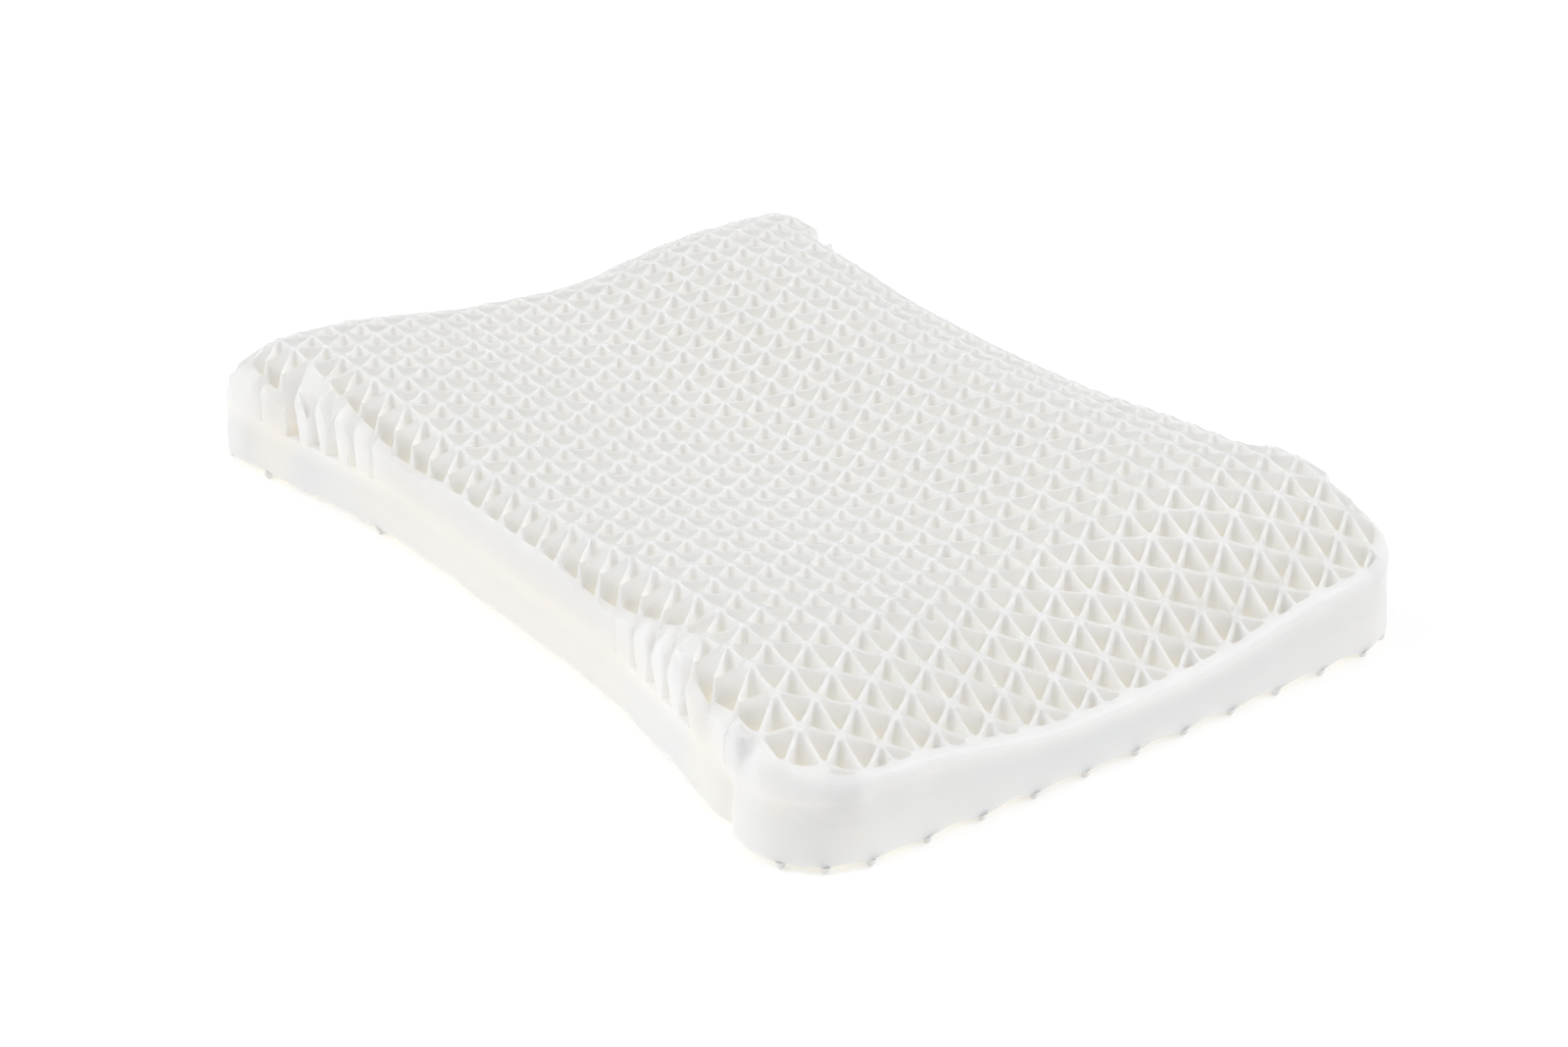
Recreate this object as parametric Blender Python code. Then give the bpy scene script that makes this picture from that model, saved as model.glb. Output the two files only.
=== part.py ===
"""Open grid pillow, one moulding in a soft elastomer.

The pillow lies flat on its under side. X runs along its length, Y across it
and Z is up. A band runs round the outside. Inside it an even net of upright
walls makes triangular cells that go right through. The top of the net rises
in a front roll and a higher rear roll with a dip between them.
"""
import math

import bmesh
import bpy
from mathutils import Vector
from mathutils.geometry import delaunay_2d_cdt

MM = 0.001

# Outline seen from above
LENGTH = 600 * MM
WIDTH = 404 * MM
WAIST_DEPTH = 25.5 * MM
WAIST_FLAT = 70 * MM
WAIST_END = 245 * MM
WAIST_POWER = 1.75
CORNER_RADIUS = 44 * MM
CORNER_STEPS = 7
SIDE_STEPS = 22
END_STEPS = 10

# Band
BAND_FOOT = 3.4 * MM
BAND_EDGE = 2 * MM
BAND_LIP = 5 * MM

# Height of the band's upper edge: its corners, the middle of its ends, the
# middle of its long sides and the flanks on both sides of the waist
CORNER_TOP = 45.5 * MM
CORNER_TOP_X = 215 * MM
CORNER_TOP_RUN = 40 * MM
END_TOP = 30.5 * MM
END_FLAT = 35 * MM
END_RUN = 115 * MM
WAIST_TOP = 57.5 * MM
FLANK_TOP = 51 * MM
FLANK_X = 45 * MM
FLANK_RUN = 45 * MM
CORNER_BLEND = 24 * MM

# Net of walls
CELL_PITCH = 37 * MM
WALL = 5 * MM
RIM = 9 * MM
CELL_LIMIT = 298
SMALLEST_CELL = 110 * MM * MM
SCALLOP = 3 * MM
FOOT_SCALLOP = 2.5 * MM
NODE_PEAK = 0.6 * MM

# Height of the net above the table
VALLEY_TOP = 62 * MM
VALLEY_Y = -22 * MM
FRONT_ROLL_TOP = 72 * MM
FRONT_ROLL_Y = -148 * MM
REAR_ROLL_TOP = 82.5 * MM
REAR_ROLL_Y = 122 * MM
REAR_DROP = 9 * MM
REAR_DROP_Y = 115 * MM
REAR_DROP_RUN = 45 * MM
VALLEY_SWELL = 6.5 * MM
FRONT_SWELL = 9.5 * MM
REAR_SWELL = 6 * MM
SWELL_X = 170 * MM
FRONT_SIDE_FALL = 20 * MM
REAR_SIDE_FALL = 23 * MM
END_FALL = 90 * MM
END_SHELF = 15 * MM
END_RISE = 3 * MM
END_POWER = 1.8

# Material
CREAM = (0.86, 0.85, 0.80, 1.0)


def clamp(value):
    return min(1.0, max(0.0, value))


def smooth(value):
    t = clamp(value)
    return t * t * (3.0 - 2.0 * t)


def mix(a, b, share):
    return a + (b - a) * share


def waist(x):
    """1 in the waist, 0 at the corners."""
    return 1.0 - clamp((abs(x) - WAIST_FLAT) / (WAIST_END - WAIST_FLAT)) ** WAIST_POWER


def half_width(x):
    """Distance from the long axis to the outline of the long side."""
    return WIDTH / 2 - WAIST_DEPTH * waist(x)


def quarter_outline():
    """Outline from the middle of the +X end to the middle of the +Y side."""
    half = LENGTH / 2
    end_y = WIDTH / 2 - CORNER_RADIUS
    points = [Vector((half, end_y * k / (END_STEPS / 2))) for k in range(END_STEPS // 2)]
    centre = Vector((half - CORNER_RADIUS, end_y))
    for k in range(CORNER_STEPS + 1):
        turn = 0.5 * math.pi * k / CORNER_STEPS
        points.append(centre + CORNER_RADIUS * Vector((math.cos(turn), math.sin(turn))))
    side = SIDE_STEPS // 2
    for k in range(1, side + 1):
        x = centre.x * (1.0 - k / side)
        points.append(Vector((x, half_width(x))))
    return points


def full_outline():
    """Whole outline, counter-clockwise, made of four mirrored quarters."""
    quarter = quarter_outline()
    back = [Vector((-p.x, p.y)) for p in reversed(quarter[:-1])]
    upper = quarter + back
    lower = [Vector((p.x, -p.y)) for p in reversed(upper[1:-1])]
    return upper + lower


def inset(points, amount):
    """Outline moved inwards by the same amount everywhere."""
    moved = []
    count = len(points)
    for k, point in enumerate(points):
        along = (points[(k + 1) % count] - points[k - 1]).normalized()
        moved.append(point + amount * Vector((-along.y, along.x)))
    return moved


def roll_height(x, y):
    """Top of the net away from the edges."""
    swell = math.sin(0.5 * math.pi * clamp(abs(x) / SWELL_X)) ** 2
    valley = VALLEY_TOP + VALLEY_SWELL * swell
    if y < VALLEY_Y:
        roll = FRONT_ROLL_TOP + FRONT_SWELL * swell
        share = (VALLEY_Y - y) / (VALLEY_Y - FRONT_ROLL_Y)
    else:
        roll = REAR_ROLL_TOP + REAR_SWELL * swell
        share = (y - VALLEY_Y) / (REAR_ROLL_Y - VALLEY_Y)
    height = mix(valley, roll, 0.5 * (1.0 - math.cos(math.pi * clamp(share))))
    return height - REAR_DROP * waist(x) * smooth((y - REAR_DROP_Y) / REAR_DROP_RUN)


def side_edge(x):
    """Band's upper edge along a long side."""
    flank = mix(WAIST_TOP, FLANK_TOP, smooth((abs(x) - FLANK_X) / FLANK_RUN))
    return mix(flank, CORNER_TOP, smooth((abs(x) - CORNER_TOP_X) / CORNER_TOP_RUN))


def end_edge(y):
    """Band's upper edge along an end."""
    return mix(END_TOP, CORNER_TOP, smooth((abs(y) - END_FLAT) / END_RUN))


def edge_height(x, y):
    """Band's upper edge beside a point of the outline."""
    end = LENGTH / 2 - abs(x)
    side = half_width(x) - abs(y)
    return mix(side_edge(x), end_edge(y), smooth(0.5 + (side - end) / CORNER_BLEND))


def top_height(x, y):
    """Top of the net, falling to the band along the sides and the ends."""
    end = LENGTH / 2 - abs(x)
    low = end_edge(y) + END_RISE * smooth((end - BAND_LIP) / (END_SHELF - BAND_LIP))
    share = clamp((END_FALL - end) / (END_FALL - END_SHELF)) ** END_POWER
    height = mix(roll_height(x, y), low, share)
    run = FRONT_SIDE_FALL if y < 0.0 else REAR_SIDE_FALL
    side = clamp((half_width(x) - abs(y) - BAND_LIP) / run)
    return mix(side_edge(x), height, math.sin(0.5 * math.pi * side))


def keep_side(polygon, normal, limit):
    """Part of a convex polygon on the inner side of a line."""
    kept = []
    for k, point in enumerate(polygon):
        before = polygon[k - 1]
        d_point = limit - normal.dot(point)
        d_before = limit - normal.dot(before)
        if (d_point < 0.0) != (d_before < 0.0):
            kept.append(before.lerp(point, d_before / (d_before - d_point)))
        if d_point >= 0.0:
            kept.append(point)
    return kept


def trim_to_rim(polygon):
    """Cell cut back so that it stays inside the band."""
    half = LENGTH / 2
    for way in (1.0, -1.0):
        polygon = keep_side(polygon, Vector((way, 0.0)), half - RIM)
    if len(polygon) < 3:
        return []
    middle = sum(polygon, Vector((0.0, 0.0))) / len(polygon)
    up = 1.0 if middle.y > 0.0 else -1.0
    out = 1.0 if middle.x > 0.0 else -1.0
    low, high = min(p.x for p in polygon), max(p.x for p in polygon)
    chord = Vector((high - low, half_width(high) - half_width(low))).normalized()
    normal = Vector((-chord.y, chord.x * up))
    edges = [Vector((x, up * half_width(x))) for x in (low, (low + high) / 2, high)]
    polygon = keep_side(polygon, normal, min(normal.dot(p) for p in edges) - RIM)
    centre = Vector((out * (half - CORNER_RADIUS), up * (WIDTH / 2 - CORNER_RADIUS)))
    for k in range(1, CORNER_STEPS):
        turn = 0.5 * math.pi * k / CORNER_STEPS
        ray = Vector((out * math.cos(turn), up * math.sin(turn)))
        polygon = keep_side(polygon, ray, ray.dot(centre) + CORNER_RADIUS - RIM)
    return polygon


def area(polygon):
    return 0.5 * sum(polygon[k - 1].cross(p) for k, p in enumerate(polygon))


def tidy(polygon):
    """Polygon without corners that lie nearly on top of each other."""
    kept = []
    for k, point in enumerate(polygon):
        if (point - polygon[k - 1]).length > 1.5 * MM:
            kept.append(point)
    return kept


def net_cells():
    """Triangular cells of the net, the largest first, and the net's nodes."""
    rise = CELL_PITCH * math.sqrt(3.0) / 2
    rows = int(WIDTH / 2 / rise) + 2
    columns = int(LENGTH / 2 / CELL_PITCH) + rows + 2
    step_a = Vector((CELL_PITCH, 0.0))
    step_b = Vector((CELL_PITCH / 2, rise))
    shrink = 1.0 - WALL * math.sqrt(3.0) / CELL_PITCH
    cells = []
    nodes = []
    for j in range(-rows, rows):
        for i in range(-columns, columns):
            node = i * step_a + j * step_b
            nodes.append(node)
            for corners in ((node, node + step_a, node + step_b),
                            (node + step_a, node + step_a + step_b, node + step_b)):
                middle = (corners[0] + corners[1] + corners[2]) / 3
                cell = [middle + (c - middle) * shrink for c in corners]
                whole = area(cell)
                cell = tidy(trim_to_rim(cell))
                if len(cell) < 3 or area(cell) < SMALLEST_CELL:
                    continue
                place = (round(abs(middle.x), 4), round(abs(middle.y), 4))
                cells.append((-round(area(cell) / whole, 2), *place, middle.x, middle.y, cell))
    cells.sort(key=lambda entry: entry[:5])
    return [entry[5] for entry in cells[:CELL_LIMIT]], nodes


def inside_band(point):
    edge = LENGTH / 2 - RIM
    centre = Vector((LENGTH / 2 - CORNER_RADIUS, WIDTH / 2 - CORNER_RADIUS))
    corner = Vector((abs(point.x), abs(point.y))) - centre
    if corner.x > 0.0 and corner.y > 0.0 and corner.length > CORNER_RADIUS - RIM:
        return False
    return abs(point.x) < edge and abs(point.y) < half_width(point.x) - RIM


def plan_of_net(border, cells, nodes):
    """Flat triangles between the band and the cells, and each corner's drop."""
    points = [p.copy() for p in border]
    drops = [0.0] * len(points)
    faces = [list(range(len(points)))]
    for cell in cells:
        loop = []
        for k, point in enumerate(cell):
            following = cell[(k + 1) % len(cell)]
            loop.append(len(points))
            points.append(point)
            drops.append(0.0)
            if (following - point).length > 0.6 * CELL_PITCH:
                loop.append(len(points))
                points.append((point + following) / 2)
                drops.append(-SCALLOP)
        faces.append(loop)
    for node in nodes:
        if inside_band(node):
            points.append(node)
            drops.append(NODE_PEAK)
    result = delaunay_2d_cdt(points, [], faces, 1, 1e-7, True)
    flat, _, triangles, sources, _, owners = result
    drop_of = [drops[s[0]] if s else 0.0 for s in sources]
    kept = [tri for tri, owner in zip(triangles, owners) if list(owner) == [0]]
    return flat, drop_of, kept, sources


def build_pillow():
    outline = full_outline()
    border = inset(outline, BAND_LIP)
    cells, nodes = net_cells()
    flat, drops, triangles, sources = plan_of_net(border, cells, nodes)
    used = sorted({k for tri in triangles for k in tri})
    mesh = bmesh.new()
    top = {}
    foot = {}
    border_of = {}
    for k in used:
        x, y = flat[k]
        on_border = bool(sources[k]) and sources[k][0] < len(border)
        height = edge_height(x, y) if on_border else top_height(x, y) + drops[k]
        under = BAND_FOOT if on_border else FOOT_SCALLOP if drops[k] < 0.0 else 0.0
        top[k] = mesh.verts.new((x, y, height))
        foot[k] = mesh.verts.new((x, y, under))
        if on_border:
            border_of[sources[k][0]] = k
    edges = {}
    for a, b, c in triangles:
        mesh.faces.new((top[a], top[b], top[c]))
        mesh.faces.new((foot[c], foot[b], foot[a]))
        for pair in ((a, b), (b, c), (c, a)):
            edges.setdefault(frozenset(pair), []).append(pair)
    rim = {border_of[k] for k in range(len(border))}
    for pairs in edges.values():
        if len(pairs) == 1:
            a, b = pairs[0]
            if not (a in rim and b in rim):
                mesh.faces.new((top[b], top[a], foot[a], foot[b]))
    heights = [edge_height(p.x, p.y) for p in outline]
    feet = [BAND_FOOT] * len(outline)
    levels = ((BAND_EDGE, feet), (0.0, [z + BAND_EDGE for z in feet]),
              (0.0, [z - BAND_EDGE for z in heights]), (BAND_EDGE, heights))
    rings = [[foot[border_of[k]] for k in range(len(border))]]
    for amount, level in levels:
        places = inset(outline, amount)
        rings.append([mesh.verts.new((p.x, p.y, z)) for p, z in zip(places, level)])
    rings.append([top[border_of[k]] for k in range(len(border))])
    count = len(border)
    for lower, upper in zip(rings, rings[1:]):
        for k in range(count):
            n = (k + 1) % count
            mesh.faces.new((lower[k], lower[n], upper[n], upper[k]))
    bmesh.ops.recalc_face_normals(mesh, faces=mesh.faces)
    if mesh.calc_volume(signed=True) < 0.0:
        bmesh.ops.reverse_faces(mesh, faces=mesh.faces)
    bmesh.ops.triangulate(mesh, faces=mesh.faces)
    data = bpy.data.meshes.new("pillow")
    mesh.to_mesh(data)
    mesh.free()
    return bpy.data.objects.new("pillow", data)


def elastomer():
    material = bpy.data.materials.new("cream elastomer")
    material.use_nodes = True
    shader = material.node_tree.nodes["Principled BSDF"]
    shader.inputs["Base Color"].default_value = CREAM
    shader.inputs["Roughness"].default_value = 0.45
    return material


def main():
    for item in list(bpy.data.objects):
        bpy.data.objects.remove(item, do_unlink=True)
    pillow = build_pillow()
    pillow.data.materials.append(elastomer())
    bpy.context.scene.collection.objects.link(pillow)


main()
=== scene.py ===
"""Looks of the open grid pillow, laid out as a Blender add-on.

The pillow is one moulding: a net of triangular cells with the real pitch, and
a band round it that carries solid pillars, open slits and four corner pads.
"""

import math

import bmesh
import bpy
from bpy.props import FloatProperty, FloatVectorProperty, PointerProperty
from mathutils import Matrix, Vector
from mathutils.geometry import delaunay_2d_cdt


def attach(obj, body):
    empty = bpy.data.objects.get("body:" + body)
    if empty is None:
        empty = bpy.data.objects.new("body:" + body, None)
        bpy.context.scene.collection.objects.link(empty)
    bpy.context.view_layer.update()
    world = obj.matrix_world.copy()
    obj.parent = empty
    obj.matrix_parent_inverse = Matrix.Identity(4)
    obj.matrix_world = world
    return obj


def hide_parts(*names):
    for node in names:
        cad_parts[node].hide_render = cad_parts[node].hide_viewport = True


bl_info = {
    "name": "Grid pillow",
    "version": (1, 0, 0),
    "blender": (4, 5, 0),
    "location": "3D View > Sidebar > Grid pillow",
    "description": "Builds the moulded grid pillow and its studio",
    "category": "Add Mesh",
}

MM = 0.001
NODE = "pillow"
ROOT3 = math.sqrt(3.0)
QUARTER_TURN = 0.5 * math.pi

# Points of the outline in one quarter of the plan.
END_POINTS = 28
CORNER_POINTS = 18
SIDE_POINTS = 60
SAME_POINT = 1e-7
LIP_STEPS = (0.0, 0.25, 0.55, 0.9)
WAIST_POWER = 1.75
CORNER_BLEND = 24 * MM

# Heights along the long sides and the ends. Places are measured from the middle.
FLANK_X = 45 * MM
FLANK_RUN = 45 * MM
PAD_X = 215 * MM
PAD_RUN = 40 * MM
END_FLAT = 35 * MM
END_RUN = 115 * MM
SHELF_END_X = 205 * MM
SHELF_BELOW_LIP = 1.5 * MM

# The corners at the -X end sag, the front one more than the rear one.
SLUMP_FRONT = 8.0 * MM
SLUMP_REAR = 3.0 * MM
SLUMP_X = 238 * MM
SLUMP_X_RUN = 48 * MM
SLUMP_Y = 120 * MM
SLUMP_Y_RUN = 65 * MM

# Rounding of the edge on the long sides, and where the rounder edge of the pads sets in.
SIDE_LIP = 1.2 * MM
PAD_LIP_X = 226 * MM
PAD_LIP_X_RUN = 22 * MM
PAD_LIP_Y = 130 * MM
PAD_LIP_Y_RUN = 40 * MM

# Rolls and valley, which all rise from the waist towards the ends.
SWELL_X = 170 * MM
VALLEY_SWELL = 6.5 * MM
FRONT_SWELL = 9.5 * MM
REAR_SWELL = 6.0 * MM
VALLEY_Y = -22 * MM
FRONT_ROLL_Y = -148 * MM
REAR_ROLL_Y = 122 * MM
REAR_DROP = 9.0 * MM
REAR_DROP_Y = 115 * MM
REAR_DROP_RUN = 45 * MM

# Fall of the net to the ends and to the long sides.
LEFT_FALL_FRONT = 0.78
LEFT_FALL_REAR = 1.06
LEFT_FALL_Y = -30 * MM
LEFT_FALL_RUN = 70 * MM
END_SHELF = 15 * MM
END_RISE = 3.0 * MM
END_RISE_START = 4 * MM
END_RISE_RUN = 11 * MM
END_POWER = 1.8
REAR_FLANK = 1.15

# Tops of the walls: less slack towards the ends, a soft fillet on both sides.
TAUT_SHARE = 0.45
TAUT_X = 170 * MM
TAUT_RUN = 80 * MM
SHORT_WALL = 1.2
SLOPE_SAG = 0.03
LEAST_REACH = 0.05
FILLET_SLOPE = 0.6
FILLET_START = 0.5 * MM
EDGE_ZONE = 2 * MM

# Under side: flat feet at the crossings, raised between them and along the band.
FOOT_FLAT = 2.5 * MM
FOOT_RUN = 6.5 * MM
BAND_RISE = 1.0 * MM
BAND_RISE_START = 1.0 * MM
BAND_RISE_RUN = 3.0 * MM
SOLE_ZONE = 6 * MM
SOLE_INSET = 2.8 * MM
SOLE_MARGIN = 2.0 * MM

# Slits and the pillars between them, at the foot of the slits.
PILLAR_WIDE = 18.0 * MM
PILLAR_NARROW = 2.6 * MM
PILLAR_X = 92 * MM
PILLAR_RUN = 90 * MM
SLIT_START = 1.6 * MM
SLIT_PAST_EDGE = 1.5 * MM
SLIT_MARGIN = 1.8 * MM
OUTER_SLIT_X = 176 * MM
OUTER_SLIT_Y = 185 * MM
SLIT_Y = 168 * MM
SLIT_LEAST = 2.2 * MM
SLIT_MOST = 15.5 * MM
SLIT_CLOSING = 0.6
SHELF_STEP = 0.2 * MM

# Cells: which are cut, and how finely their loops are divided.
FARTHEST_OUT = -12 * MM
CORNER_CUTS = 12
WIDEST_FILLET = 0.3
LONGEST_CUT = 0.42
SIDE_END_X = 244 * MM
OUTER_ROW_Y = 162 * MM
LEAST_CELL = 0.12
LEAST_OPEN_CELL = 0.6
LEAST_CLOSED_CELL = 0.95
LEAST_EDGE = 0.6 * MM
CELL_SPACING = 3.6 * MM
SLIT_SPACING = 4.0 * MM
SLIT_FILLET = 0.6 * MM
SKIN_MARGIN = 0.7 * MM
BEVEL_WIDTH = 0.4 * MM
BEVEL_DROP = 0.6 * MM

# Plain band, with a narrow groove at the +X end and a wide, shallow hollow at the -X end.
GROOVE_X = 236 * MM
GROOVE_WIDTH = 6.5 * MM
HOLLOW_WIDTH = 11.0 * MM
HOLLOW_SHARE = 0.4
RIPPLE = 0.35 * MM
WAVE = 0.22 * MM
SCALLOP_BETWEEN_NUBS = 1.6 * MM
BAND_SHARES = (0.96, 0.9, 0.8, 0.65, 0.5, 0.35, 0.2, 0.1)
BAND_EDGE = ((0.0, 1.7 * MM), (0.5 * MM, 0.6 * MM), (2.0 * MM, 0.0))
RIPPLE_LENGTHS = (9.1 * MM, 6.8 * MM)
RIPPLE_PHASES = (1.0, 0.4)
WAVE_LENGTHS = (7.3 * MM, 8.9 * MM)
WAVE_PHASES = (0.0, 2.0)
GROOVE_FADE = 4.0
GROOVE_TOP = 0.98
NUB_SHARE = 0.4

# Small feet below the band, and how far from the outline their crossings lie.
NUB_END_OUT = -3 * MM
NUB_END_IN = 16 * MM
NUB_END_Y = 158 * MM
NUB_CORNER_X = 260 * MM
NUB_CORNER_IN = 10.5 * MM
NUB_SIDE_OUT = 1.5 * MM
NUB_SIDE_IN = 5.5 * MM
NUB_SIDE_X = (-230 * MM, -110 * MM)
NUB_ROWS = range(-13, 14)
NUB_COLUMNS = range(-25, 26)
NUB_POINTS = 10
NUB_RINGS = ((0.95, 1.45), (1.0, 1.0), (0.86, 0.45), (0.5, 0.0))

# The depth attribute is 0 on the net's tops, the depth below them in the cells and this on the band. The
# depth in the cells drives the painted warmth and glow; the mark on the band drives its painted shade.
BAND_SHADE_MARK = -10.0 * MM
BAND_SHADE_MARK_STEPS = 4

# Powers that keep a feature to the long sides or to the ends.
SIDE_ONLY = 6
END_ONLY = 4

# Stage: reach of the floor, places and spreads of the broad lights, camera.
FLOOR_REACH = 9.0
LAMP_DISTANCE = 2.0
LAMP_HEIGHT = math.radians(30.0)
LAMP_SPREAD = math.radians(50.0)
TOP_SPREAD = math.radians(100.0)
SENSOR_WIDTH = 36.0
CAMERA_REACH = 50.0

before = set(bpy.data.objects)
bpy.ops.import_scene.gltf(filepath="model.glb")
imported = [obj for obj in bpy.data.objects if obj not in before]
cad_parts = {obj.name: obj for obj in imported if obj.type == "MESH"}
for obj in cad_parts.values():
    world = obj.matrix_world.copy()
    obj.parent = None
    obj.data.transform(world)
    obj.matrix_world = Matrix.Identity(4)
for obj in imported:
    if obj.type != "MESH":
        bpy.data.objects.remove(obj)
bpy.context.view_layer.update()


def length_property(name, description, millimetres):
    return FloatProperty(name=name, description=description, default=millimetres * MM,
                         subtype="DISTANCE", unit="LENGTH")


def srgb(code):
    """Linear colour of a hex code."""
    channels = [int(code[k:k + 2], 16) / 255.0 for k in (1, 3, 5)]
    linear = [c / 12.92 if c <= 0.04045 else ((c + 0.055) / 1.055) ** 2.4 for c in channels]
    return (*linear, 1.0)


class GridPillowShape(bpy.types.PropertyGroup):
    """Sizes of the moulding"""

    length: length_property("Length", "Length over both ends", 600.0)
    width: length_property("Width", "Width over the corner pads", 404.0)
    waist_depth: length_property("Waist depth", "How far each long side draws in", 25.5)
    waist_flat: length_property("Waist flat", "Half the straight part of the waist", 70.0)
    waist_end: length_property("Waist end", "Where the waist has run out", 245.0)
    corner_radius: length_property("Corner radius", "Radius of the corners in plan", 44.0)
    end_bow: length_property("End bow", "How far each end bows outwards", 1.5)
    band_foot: length_property("Band foot", "Height of the band's lower edge", 3.4)
    shelf: length_property("Shelf", "Height of the shelf in the slits", 36.0)
    corner_top: length_property("Corner top", "Height of the corner pads", 45.5)
    end_top: length_property("End top", "Height of the band in the middle of the ends", 30.5)
    waist_top: length_property("Waist top", "Height of the outer skin in the waist", 57.5)
    flank_top: length_property("Flank top", "Height of the outer skin beside the waist", 51.0)
    draft_side: length_property("Side draft", "How far the sides lean in", 1.5)
    draft_end: length_property("End draft", "How far the ends lean in", 3.5)
    side_fall: length_property("Side fall", "Width of the steep flank along the sides", 20.0)
    end_fall: length_property("End fall", "Where the top starts to fall to the ends", 95.0)
    lip_radius: length_property("Lip radius", "Rounding of the edge at the ends", 2.6)
    pad_radius: length_property("Pad radius", "Rounding of the edge at the corner pads", 4.6)
    pitch: length_property("Pitch", "Distance between crossings of the net", 18.5)
    net_shift: length_property("Net shift", "How far the net lies off the middle", -5.5)
    wall: length_property("Wall", "Thickness of the net's walls", 1.8)
    fillet: length_property("Fillet", "Rounding of the cells' corners", 0.7)
    scallop: length_property("Scallop", "How far a wall's top dips between crossings", 1.9)
    foot_scallop: length_property("Foot scallop", "How far a wall's foot rises between crossings", 3.0)
    end_skin: length_property("End skin", "Thickness outside the cells at the ends", 5.0)
    side_skin: length_property("Side skin", "Thickness outside the cells on the long sides", 2.2)
    nub: length_property("Nub", "Radius of the small feet below the band", 2.5)
    groove: length_property("Groove", "Depth of the grooves beside the corner pads", 5.0)
    valley_top: length_property("Valley top", "Height of the dip in the middle", 62.0)
    front_top: length_property("Front roll", "Height of the front roll at the waist", 72.0)
    rear_top: length_property("Rear roll", "Height of the rear roll at the waist", 82.5)


class GridPillowFinish(bpy.types.PropertyGroup):
    """Look of the elastomer"""

    cream: FloatVectorProperty(name="Cream", description="Body colour of the elastomer",
                               subtype="COLOR", size=3, default=srgb("#FBFAF7")[:3], min=0.0, max=1.0)
    # Painted light: a warmer colour deep in the cells, in place of the warm light that comes out of them.
    core: FloatVectorProperty(name="Core", description="Warmer colour deep in the cells",
                              subtype="COLOR", size=3, default=srgb("#FDF9EF")[:3], min=0.0, max=1.0)
    roughness: FloatProperty(name="Roughness", description="Roughness of the moulded skin",
                             subtype="FACTOR", default=0.5, min=0.0, max=1.0)
    depth: FloatProperty(name="Light depth", description="How far light travels inside",
                         subtype="DISTANCE", unit="LENGTH", default=17.0 * MM, min=0.0)
    # Glow is painted light: the skin emits light deep in the cells, in place of light passed on through the
    # walls.
    glow: FloatProperty(name="Glow", description="Light passed on through the walls deep in the cells",
                        default=0.2, min=0.0)


class GridPillowStage(bpy.types.PropertyGroup):
    """Camera and studio light"""

    azimuth: FloatProperty(name="Azimuth", description="Camera's turn from the front",
                           subtype="ANGLE", default=math.radians(53.5))
    elevation: FloatProperty(name="Elevation", description="Camera's height above the floor",
                             subtype="ANGLE", default=math.radians(26.9))
    distance: FloatProperty(name="Distance", description="Camera's distance from its target",
                            subtype="DISTANCE", unit="LENGTH", default=1.443, min=0.1)
    lens: FloatProperty(name="Lens", description="Focal length on a 36 mm sensor",
                        default=63.05, min=10.0)
    target: FloatVectorProperty(name="Target", description="Point the camera looks at",
                                subtype="TRANSLATION", size=3, default=(0.0718, -0.0435, 0.0461))
    sky: FloatProperty(name="Sky", description="Strength of the light from all round",
                       default=0.13, min=0.0)
    top: FloatProperty(name="Top", description="Strength of the broad light above",
                       default=1.85, min=0.0)
    left: FloatProperty(name="Left", description="Strength of the broad light at the camera's left",
                        default=1.05, min=0.0)
    right: FloatProperty(name="Right", description="Strength of the broad light at the camera's right",
                         default=0.95, min=0.0)
    glow: FloatProperty(name="Glow", description="Strength of the light table under the pillow",
                        default=0.22, min=0.0)


def clamp(value, low=0.0, high=1.0):
    return min(high, max(low, value))


def smooth(value):
    t = clamp(value)
    return t * t * (3.0 - 2.0 * t)


def ramp(value, start, run):
    """0 before a place, 1 once it lies a run behind, smooth between."""
    return smooth((value - start) / run)


def mix(a, b, share):
    return a + (b - a) * share


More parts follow.
